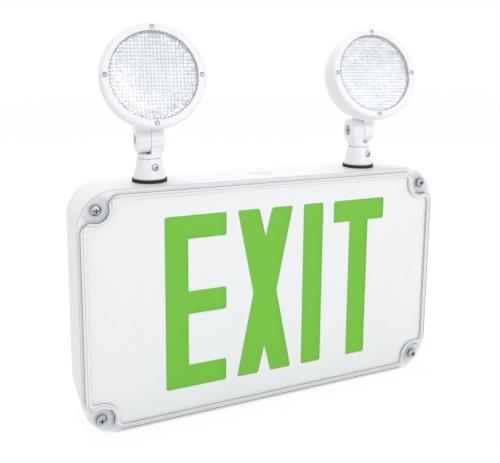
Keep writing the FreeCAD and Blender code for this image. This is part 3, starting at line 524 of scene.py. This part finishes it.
# Pale grey with a soft highlight on each dome, so that the LEDs glint through the lens.
lamp_board = moulded("white board with LED domes", "#E4E5E8", "#D2D4D9", 0.35, patch=5.0)
for side in ("left", "right"):
    dress(f"{side}_lamp_housing", glossy_white)
    dress(f"{side}_lamp_reflector", reflector_metal)
    dress(f"{side}_lamp_led_board", lamp_board)
    dress(f"{side}_lens_gasket", milky_silicone)


# ---- prismatic lenses ------------------------------------------------------------------------
# Clear polycarbonate discs, smooth in front, with rows of small square prisms moulded on the back
# that spread the LED beam. The flange rests on the silicone ring.

LENS_SEGMENTS = 96
LENS_FRONT, LENS_STEP, LENS_BACK = 0.0009, 0.0024, 0.0049    # depths behind the bezel's face
FACE_R, STEP_R, FLANGE_R = 0.0342, 0.0353, 0.0369
PRISM_DEPTH = 0.0010
PRISM_PITCH = 0.00305
PRISM_R = 0.0347
PRISM_FIELD = 0.0782                     # the square of prisms that the round body is cut from
PRISM_BITE = 0.00005                     # how far the bases lie past the back, for a clean cut


def lamp_place(side):
    """Lamp coordinates to the row frame: x across, y into the lamp and z up, from the bezel's face."""
    ring = frame["nodes"][f"{side}_lamp_bezel"].data
    hinge = next(joint for joint in frame["joints"] if joint["name"] == f"{side}_tilt")
    across = -Vector(hinge["axis"]).normalized()
    lens = frame["nodes"][f"{side}_lamp_lens"].data
    front_faces = [face for face in lens.polygons if face.normal.y < 0]
    inward = -max(front_faces, key=lambda face: face.area).normal
    up = across.cross(inward)
    turn = Matrix((across, inward, up))
    seen = [turn @ vertex.co for vertex in ring.vertices]
    spans = [(min(point[i] for point in seen), max(point[i] for point in seen)) for i in range(3)]
    centre = Vector((sum(spans[0]) / 2, spans[1][0], sum(spans[2]) / 2))
    return Matrix.Translation(turn.transposed() @ centre) @ turn.transposed().to_4x4()


def socket(tree, name, kind, value=None, way="INPUT"):
    """One input or output of a node group, with its value if it has one."""
    made = tree.interface.new_socket(name, in_out=way, socket_type=kind)
    if value is not None:
        made.default_value = value


def built(body, tree, values):
    """Runs a node tree on a piece, keeps the result as its plain mesh and drops the tree."""
    worker = body.modifiers.new("build", "NODES")
    worker.node_group = tree
    for item in tree.interface.items_tree:
        if item.name in values:
            worker[item.identifier] = values[item.name]
    now = bpy.context.evaluated_depsgraph_get()
    mesh = bpy.data.meshes.new_from_object(body.evaluated_get(now), depsgraph=now)
    body.modifiers.remove(worker)
    body.data = mesh


def finished(name, shape):
    """Turns a drawn shape into an object of the scene, its faces outward."""
    bmesh.ops.recalc_face_normals(shape, faces=shape.faces)
    mesh = bpy.data.meshes.new(name)
    shape.to_mesh(mesh)
    shape.free()
    made = bpy.data.objects.new(name, mesh)
    bpy.context.scene.collection.objects.link(made)
    return made


def spun(name, profile, segments):
    """A solid of revolution about +Y; each point is (radius, depth)."""
    shape = bmesh.new()
    rings = []
    for radius, depth in profile:
        if radius < 1e-9:
            rings.append([shape.verts.new((0, depth, 0))])
        else:
            rings.append([shape.verts.new((radius * math.cos(2 * math.pi * k / segments), depth,
                                           radius * math.sin(2 * math.pi * k / segments)))
                          for k in range(segments)])
    for inner, outer in zip(rings, rings[1:]):
        for k in range(segments):
            loop = [inner[k % len(inner)], outer[k % len(outer)], outer[(k + 1) % len(outer)],
                    inner[(k + 1) % len(inner)]]
            shape.faces.new(list(dict.fromkeys(loop)))
    return finished(name, shape)


prisms = bpy.data.node_groups.new("rows of square prisms", "GeometryNodeTree")
socket(prisms, "Geometry", "NodeSocketGeometry")
socket(prisms, "Geometry", "NodeSocketGeometry", way="OUTPUT")
socket(prisms, "Pitch", "NodeSocketFloat", PRISM_PITCH)
socket(prisms, "Depth", "NodeSocketFloat", PRISM_DEPTH)
socket(prisms, "Width", "NodeSocketFloat", PRISM_FIELD)
socket(prisms, "Base", "NodeSocketFloat", LENS_BACK + PRISM_BITE)
socket(prisms, "Finish", "NodeSocketMaterial")
given = add(prisms, "NodeGroupInput")
cells = add(prisms, "ShaderNodeMath", {0: (given, "Width"), 1: (given, "Pitch")}, operation="DIVIDE")
lines = add(prisms, "ShaderNodeMath", {0: (cells, 0), 1: 1.5}, operation="ADD")
double = add(prisms, "ShaderNodeMath", {0: (given, "Base"), 1: 2.0}, operation="MULTIPLY")
size = add(prisms, "ShaderNodeCombineXYZ", {"X": (given, "Width"), "Y": (given, "Width"),
                                            "Z": (double, 0)})
slab = add(prisms, "GeometryNodeMeshCube", {"Size": (size, 0), "Vertices X": (lines, 0),
                                            "Vertices Y": (lines, 0), "Vertices Z": 2})
normal = add(prisms, "GeometryNodeInputNormal")
towards = add(prisms, "ShaderNodeSeparateXYZ", {0: (normal, 0)})
back = add(prisms, "ShaderNodeMath", {0: (towards, "Z"), 1: 0.5}, operation="GREATER_THAN")
raised = add(prisms, "GeometryNodeExtrudeMesh", {"Mesh": (slab, "Mesh"), "Selection": (back, 0),
                                                 "Offset Scale": (given, "Depth"), "Individual": True})
pointed = add(prisms, "GeometryNodeScaleElements", {"Geometry": (raised, "Mesh"),
                                                    "Selection": (raised, "Top"), "Scale": 0.0})
closed = add(prisms, "GeometryNodeMergeByDistance", {"Geometry": (pointed, 0), "Distance": 1e-6})
laid = add(prisms, "GeometryNodeTransform", {"Geometry": (closed, 0),
                                             "Rotation": (-math.pi / 2, 0, 0)})
trimmed = add(prisms, "GeometryNodeMeshBoolean", {"Mesh 2": (given, "Geometry")},
              operation="INTERSECT", solver="EXACT")
prisms.links.new(laid.outputs[0], trimmed.inputs["Mesh 2"])
plain = add(prisms, "GeometryNodeRealizeInstances", {"Geometry": (trimmed, 0)})
coloured = add(prisms, "GeometryNodeSetMaterial", {"Geometry": (plain, 0),
                                                   "Material": (given, "Finish")})
add(prisms, "NodeGroupOutput", {"Geometry": (coloured, 0)})

# Clear plastic; the prisms behind break the light into small grey and white cells.
clear_prisms, tree = finish_named("clear prismatic polycarbonate")
place = add(tree, "ShaderNodeTexCoord")
ripple = add(tree, "ShaderNodeTexNoise", {"Vector": (place, "Object"), "Scale": per(9.0),
                                          "Detail": 1.0})
bump = add(tree, "ShaderNodeBump", {"Height": (ripple, 0), "Strength": 0.08, "Distance": 0.0003})
shader = add(tree, "ShaderNodeBsdfPrincipled",
             {"Base Color": linear("#F8FAFC"), "Roughness": 0.04, "IOR": 1.58,
              "Transmission Weight": 1.0, "Alpha": 0.6, "Normal": (bump, 0)})
add(tree, "ShaderNodeOutputMaterial", {"Surface": (shader, 0)})

lens_profile = [(0, LENS_FRONT), (FACE_R, LENS_FRONT), (STEP_R, LENS_STEP), (FLANGE_R, LENS_STEP),
                (FLANGE_R, LENS_BACK), (PRISM_R, LENS_BACK), (PRISM_R, LENS_BACK + 2 * PRISM_DEPTH),
                (0, LENS_BACK + 2 * PRISM_DEPTH)]

# Painted shade at the cut-off ends of the rows round the edge of the lens: small dark blocks, one to
# each row, stand in for the ends, which look dark because they turn the light away.
ROW_ENDS = 72
END_SHARE = 0.4                          # of the pitch round the edge
ENDS_IN_R, ENDS_OUT_R = 0.03455, 0.03535
ENDS_FRONT, ENDS_BACK = 0.0009, 0.0013
dark_ends = moulded("shadowed prism ends", "#7C828E", "#8A909B", 0.3, patch=6.0, relief=0.05)


BLOCK_FACES = ((0, 1, 2, 3), (4, 5, 6, 7), (0, 1, 5, 4), (1, 2, 6, 5), (2, 3, 7, 6), (3, 0, 4, 7))


def row_ends(name):
    """A ring of small blocks about +Y, one to each row, that carry the painted shade of the row ends.
    """
    shape = bmesh.new()
    for k in range(ROW_ENDS):
        corners = []
        for depth in (ENDS_FRONT, ENDS_BACK):
            for radius, turn in ((ENDS_IN_R, k), (ENDS_OUT_R, k), (ENDS_OUT_R, k + END_SHARE),
                                 (ENDS_IN_R, k + END_SHARE)):
                angle = 2 * math.pi * turn / ROW_ENDS
                place = (radius * math.cos(angle), depth, radius * math.sin(angle))
                corners.append(shape.verts.new(place))
        for loop in BLOCK_FACES:
            shape.faces.new([corners[i] for i in loop])
    return finished(name, shape)


for side in ("left", "right"):
    lens = spun(f"{side}_prismatic_lens", lens_profile, LENS_SEGMENTS)
    built(lens, prisms, {"Finish": clear_prisms})
    lens.data.transform(lamp_place(side))
    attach(lens, f"{side}_head")
    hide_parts(f"{side}_lamp_lens")
    ends = row_ends(f"{side}_painted_shade_row_ends")
    ends.data.materials.append(dark_ends)
    ends.data.transform(lamp_place(side))
    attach(ends, f"{side}_head")


# ---- bezels and their screws -----------------------------------------------------------------
# A white ring snaps over the rim of each lamp and is held by four small countersunk screws at the
# quarters, which clamp the lens on its silicone ring.

# A separate moulding, a touch greyer than the bowl behind it.
bezel_white = moulded("white polycarbonate bezel", "#EFF0F3", "#EBECF0", 0.34, patch=30.0, relief=0.05,
                      **{"IOR": 1.58})
dress("left_lamp_bezel", bezel_white)
dress("right_lamp_bezel", bezel_white)
# Light plating, so that each small head is a pale dot with its cross darkened by painted shade.
small_steel = plated("small zinc screws", "#D2D5DA", "#B4B9C0", 0.3, hollow=0.0005)
for side in ("left", "right"):
    for number in range(1, 5):
        dress(f"{side}_bezel_screw_{number}", small_steel)


# ---- floor, light and camera -----------------------------------------------------------------
# A plain white table in an even white studio: a large soft light in front, another above and
# behind, and the white room itself.

FLOOR_Z = -0.1031                        # just under the foot of the housing

bpy.ops.mesh.primitive_plane_add(size=8.0, location=(0, 0, FLOOR_Z))
floor = bpy.context.object
floor.name = "floor"
# Seen directly the table is plain white; as a surface it takes the soft shadow at the foot.
white_table, tree = finish_named("white table")
ray = add(tree, "ShaderNodeLightPath")
direct = add(tree, "ShaderNodeMath", {0: (ray, "Is Camera Ray"), 1: (ray, "Is Glossy Ray")},
             operation="MAXIMUM")
through = add(tree, "ShaderNodeMath", {0: (direct, 0), 1: (ray, "Is Transmission Ray")},
              operation="MAXIMUM")
share = add(tree, "ShaderNodeMath", {0: (through, 0), 1: 0.9}, operation="MULTIPLY")
matt = add(tree, "ShaderNodeBsdfDiffuse", {"Color": linear("#F4F4F4")})
bright = add(tree, "ShaderNodeEmission", {"Color": linear("#FFFFFF"), "Strength": 1.02})
both = add(tree, "ShaderNodeMixShader", {0: (share, 0), 1: (matt, 0), 2: (bright, 0)})
add(tree, "ShaderNodeOutputMaterial", {"Surface": (both, 0)})
floor.data.materials.append(white_table)

# The room is full white where it is looked at, a little dimmer as light, and stronger through the
# clear lenses.
world = bpy.data.worlds.new("white studio")
world.use_nodes = True
tree = world.node_tree
tree.nodes.clear()
ray = add(tree, "ShaderNodeLightPath")
direct = add(tree, "ShaderNodeMath", {0: (ray, "Is Camera Ray"), 1: (ray, "Is Glossy Ray")},
             operation="MAXIMUM")
plain = add(tree, "ShaderNodeMapRange", {"Value": (direct, 0), "To Min": 0.76, "To Max": 1.0})
through = add(tree, "ShaderNodeMath", {0: (ray, "Is Transmission Ray"), 1: 1.45}, operation="MULTIPLY")
level = add(tree, "ShaderNodeMath", {0: (plain, 0), 1: (through, 0)}, operation="ADD")
room = add(tree, "ShaderNodeBackground", {"Color": linear("#FFFFFF"), "Strength": (level, 0)})
add(tree, "ShaderNodeOutputWorld", {"Surface": (room, 0)})
bpy.context.scene.world = world


def softbox(name, power, width, height, place, aim):
    """A rectangular soft light of so many watts, turned to a point."""
    light = bpy.data.lights.new(name, "AREA")
    light.energy = power
    light.shape = "RECTANGLE"
    light.size, light.size_y = width, height
    lamp = bpy.data.objects.new(name, light)
    lamp.location = place
    lamp.rotation_euler = (Vector(aim) - Vector(place)).to_track_quat("-Z", "Y").to_euler()
    bpy.context.scene.collection.objects.link(lamp)


softbox("front_light", 10.1, 1.6, 1.2, (0.5, -1.9, 0.75), (0, -0.03, 0.03))
softbox("top_light", 9.0, 1.2, 1.2, (-0.1, 0.5, 1.6), (0, -0.03, 0.1))

# The camera stands to the left and a little above, close enough for the lines to converge.
CAMERA_AT = (-0.2511, -0.5681, 0.2084)
azimuth, elevation, roll = math.radians(-24.44), math.radians(8.98), math.radians(0.53)
behind = Vector((math.sin(azimuth) * math.cos(elevation), -math.cos(azimuth) * math.cos(elevation),
                 math.sin(elevation)))
rightwards = (-behind).cross(Vector((0, 0, 1))).normalized()
upwards = rightwards.cross(-behind)
turned_right = rightwards * math.cos(roll) + upwards * math.sin(roll)
turned_up = -rightwards * math.sin(roll) + upwards * math.cos(roll)
view = Matrix((turned_right, turned_up, behind)).transposed().to_4x4()
camera_data = bpy.data.cameras.new("camera")
camera_data.sensor_width = 36.0
camera_data.lens = 47.40
camera_data.shift_x = -0.0090
camera_data.shift_y = -0.143
camera_data.clip_start = 0.01
camera = bpy.data.objects.new("camera", camera_data)
camera.matrix_world = Matrix.Translation(CAMERA_AT) @ view
bpy.context.scene.collection.objects.link(camera)
bpy.context.scene.camera = camera
bpy.context.scene.view_settings.view_transform = "Standard"
